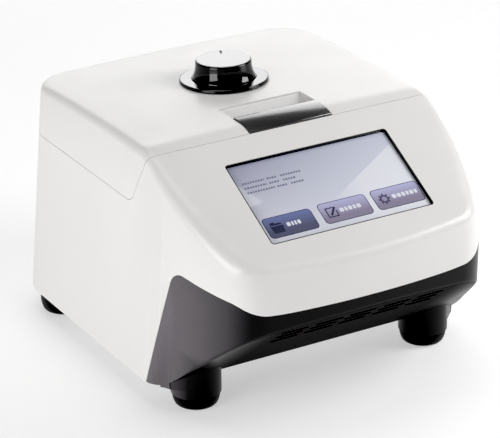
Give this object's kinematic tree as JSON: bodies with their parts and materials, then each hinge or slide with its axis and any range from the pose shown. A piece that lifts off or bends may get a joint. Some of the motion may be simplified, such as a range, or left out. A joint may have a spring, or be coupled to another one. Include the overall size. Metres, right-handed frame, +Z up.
{
  "type": "thermal cycler",
  "caption": "Benchtop thermal cycler with a hinged hot lid, screw-down knob and latch over a multi-well block, and a sloping touch display.",
  "frame": {"origin": "on the bench under the middle of the machine's outline", "axes": "+Z up, -Y towards the display at the front, +X to the right seen from the front"},
  "size_m": [0.3046, 0.3685, 0.2393],
  "materials": {
    "white_plastic": "semi-gloss moulded white, very light grain",
    "black_plastic": "satin black moulding",
    "black_gloss": "polished black moulding",
    "grey_plastic": "mid-grey moulding",
    "foot_rubber": "matt black rubber",
    "seal_silicone": "soft red-brown silicone",
    "screen": "lit colour display under glossy touch glass",
    "polished_metal": "polished bright metal",
    "steel": "zinc-plated or stainless sheet and pins",
    "aluminium": "machined aluminium",
    "bronze": "turned brass",
    "ceramic": "white ceramic faces of the thermoelectric modules",
    "circuit_board": "green board with components"
  },
  "bodies": {
    "base": {"upper_housing": "white_plastic", "front_base_cover": "black_plastic", "chassis_plate": "steel", "foot_front_left": "foot_rubber", "foot_front_right": "foot_rubber", "foot_rear_left": "foot_rubber", "foot_rear_right": "foot_rubber", "display_bezel": "black_plastic", "touch_screen": "screen", "display_module": "steel", "block_surround": "grey_plastic", "chamber_seal": "seal_silicone", "sample_block": "aluminium", "peltier_1": "ceramic", "peltier_2": "ceramic", "peltier_3": "ceramic", "peltier_4": "ceramic", "heat_sink": "aluminium", "core_bracket_left": "steel", "core_bracket_right": "steel", "fan_frame_left": "black_plastic", "fan_frame_right": "black_plastic", "power_supply": "steel", "main_board": "circuit_board", "rear_panel": "steel", "power_inlet": "black_plastic", "switch_frame": "black_plastic", "usb_port": "steel", "hinge_leaf_base_left": "steel", "hinge_leaf_base_right": "steel", "hinge_pin_left": "steel", "hinge_pin_right": "steel", "latch_striker": "steel"},
    "lid": {"lid_cover": "white_plastic", "lid_liner": "grey_plastic", "grip_cup": "white_plastic", "hinge_leaf_lid_left": "steel", "hinge_leaf_lid_right": "steel", "latch_pin": "steel", "latch_spring": "steel", "spindle_bush": "bronze", "dial_base": "black_gloss", "dial_plate": "polished_metal", "guide_rod_left": "steel", "guide_rod_right": "steel"},
    "latch": {"latch_handle": "black_gloss", "latch_hook": "steel"},
    "knob_set": {"knob": "black_gloss", "knob_cap": "polished_metal", "knob_spindle": "steel"},
    "platen": {"heated_platen": "aluminium", "platen_carrier": "grey_plastic", "spindle_nut": "bronze"},
    "rocker": {"power_rocker": "black_plastic"},
    "fuse_tray": {"fuse_drawer": "black_plastic"},
    "fan_rotor_l": {"fan_rotor_left": "black_plastic"},
    "fan_rotor_r": {"fan_rotor_right": "black_plastic"}
  },
  "joints": [
    {"name": "lid_hinge", "type": "hinge", "parent": "base", "child": "lid", "pos_m": [0, 0.1775, 0.1687], "axis": [-1, 0, 0], "range_deg": [0, 85]},
    {"name": "latch_release", "type": "hinge", "parent": "lid", "child": "latch", "pos_m": [0, -0.0509, 0.2154], "axis": [1, 0, 0], "range_deg": [0, 14], "stiffness_Nm_per_rad": 0.08, "springref_deg": -22.92},
    {"name": "knob_turn", "type": "hinge", "parent": "lid", "child": "knob_set", "pos_m": [0, 0.0603, 0.2191], "axis": [0, -0.0523, -0.9986], "range_deg": [0, 720]},
    {"name": "platen_lift", "type": "slide", "parent": "lid", "child": "platen", "axis": [0, -0.0523, -0.9986], "range_m": [0, 0.008]},
    {"name": "power_rocker_tilt", "type": "hinge", "parent": "base", "child": "rocker", "pos_m": [-0.04, 0.17931, 0.05221], "axis": [-1, 0, 0], "range_deg": [0, 20]},
    {"name": "fuse_drawer_slide", "type": "slide", "parent": "base", "child": "fuse_tray", "axis": [0, 0.997, 0.0778], "range_m": [0, 0.018]},
    {"name": "fan_left_spin", "type": "hinge", "parent": "base", "child": "fan_rotor_l", "pos_m": [-0.044, 0.16008, 0.10588], "axis": [0, 0.997, 0.0778], "continuous": true},
    {"name": "fan_right_spin", "type": "hinge", "parent": "base", "child": "fan_rotor_r", "pos_m": [0.044, 0.16008, 0.10588], "axis": [0, 0.997, 0.0778], "continuous": true}
  ],
  "couplings": [
    {"joint": "platen_lift", "follows": "knob_turn", "m_per_rad": 0.000636}
  ]
}
